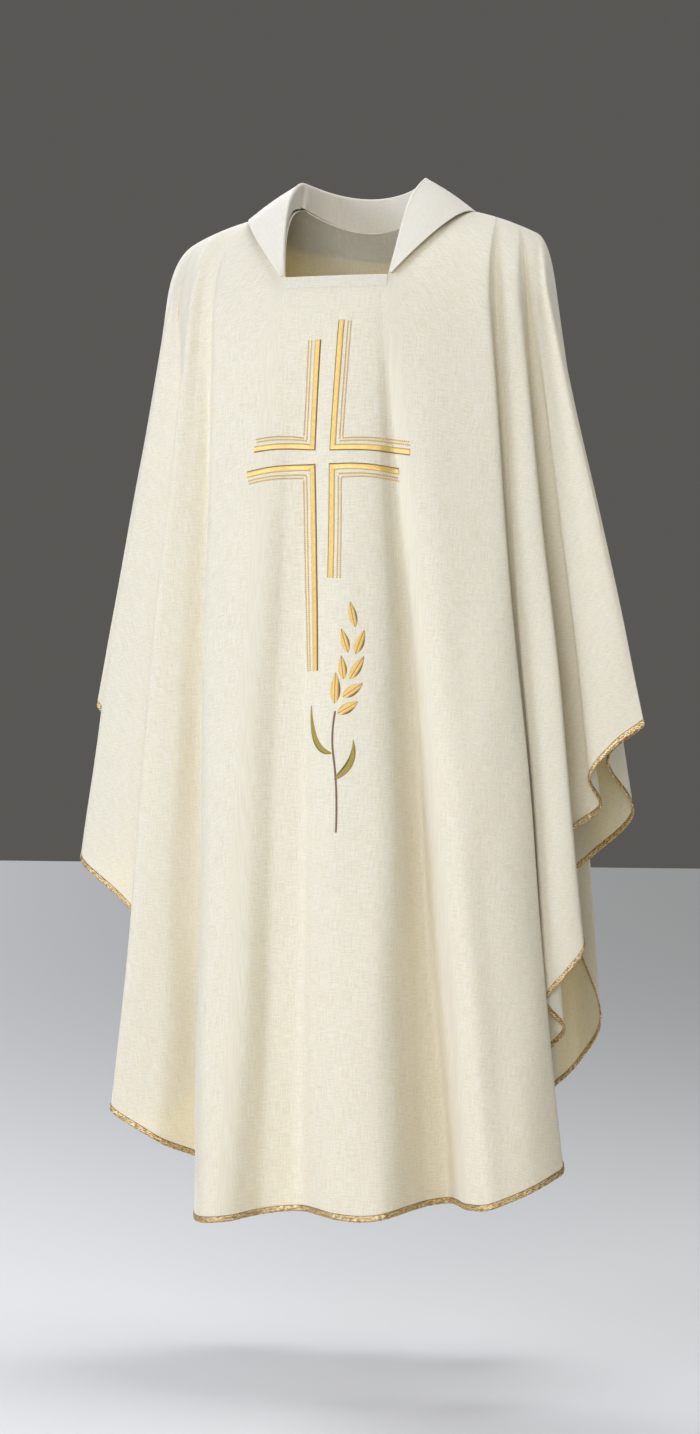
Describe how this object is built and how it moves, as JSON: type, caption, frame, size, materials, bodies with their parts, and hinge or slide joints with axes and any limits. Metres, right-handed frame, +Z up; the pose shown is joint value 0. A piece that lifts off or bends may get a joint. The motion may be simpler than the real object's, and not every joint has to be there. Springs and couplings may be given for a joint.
{
  "type": "chasuble",
  "caption": "Ivory chasuble draped in soft folds, with a turned-down collar, gold hem braid and an embroidered cross and ear of wheat.",
  "frame": {"origin": "midway between the two neck points, at the height of the shoulder seams there, where the wearer's shoulders carry the garment", "axes": "+Z up, the front faces -Y, +X towards the wearer's left"},
  "size_m": [0.7361, 0.4018, 1.272],
  "materials": {
    "ivory_cloth": "matte, fine plain weave",
    "collar_cloth": "matte, two layers pressed flat",
    "gold_braid": "metallic braid",
    "gold_thread": "satin stitch, glossy thread",
    "olive_thread": "satin stitch, glossy thread",
    "stem_thread": "stem stitch"
  },
  "bodies": {
    "root": {"front_panel": "ivory_cloth", "back_panel": "ivory_cloth", "front_neck_band": "ivory_cloth", "back_neck_facing": "ivory_cloth", "left_shoulder_tape": "ivory_cloth", "right_shoulder_tape": "ivory_cloth", "upper_collar": "collar_cloth", "under_collar": "collar_cloth", "front_hem_braid": "gold_braid", "back_hem_braid": "gold_braid", "cross_upper_left_band": "gold_thread", "cross_upper_right_band": "gold_thread", "cross_lower_left_band": "gold_thread", "cross_lower_right_band": "gold_thread", "cross_upper_left_lines": "gold_thread", "cross_upper_right_lines": "gold_thread", "cross_lower_left_lines": "gold_thread", "cross_lower_right_lines": "gold_thread", "wheat_kernel_1": "gold_thread", "wheat_kernel_2": "gold_thread", "wheat_kernel_3": "gold_thread", "wheat_kernel_4": "gold_thread", "wheat_kernel_5": "gold_thread", "wheat_kernel_6": "gold_thread", "wheat_kernel_7": "gold_thread", "wheat_kernel_8": "gold_thread", "wheat_stem": "stem_thread", "wheat_leaf_left": "olive_thread", "wheat_leaf_right": "olive_thread"}
  },
  "joints": []
}
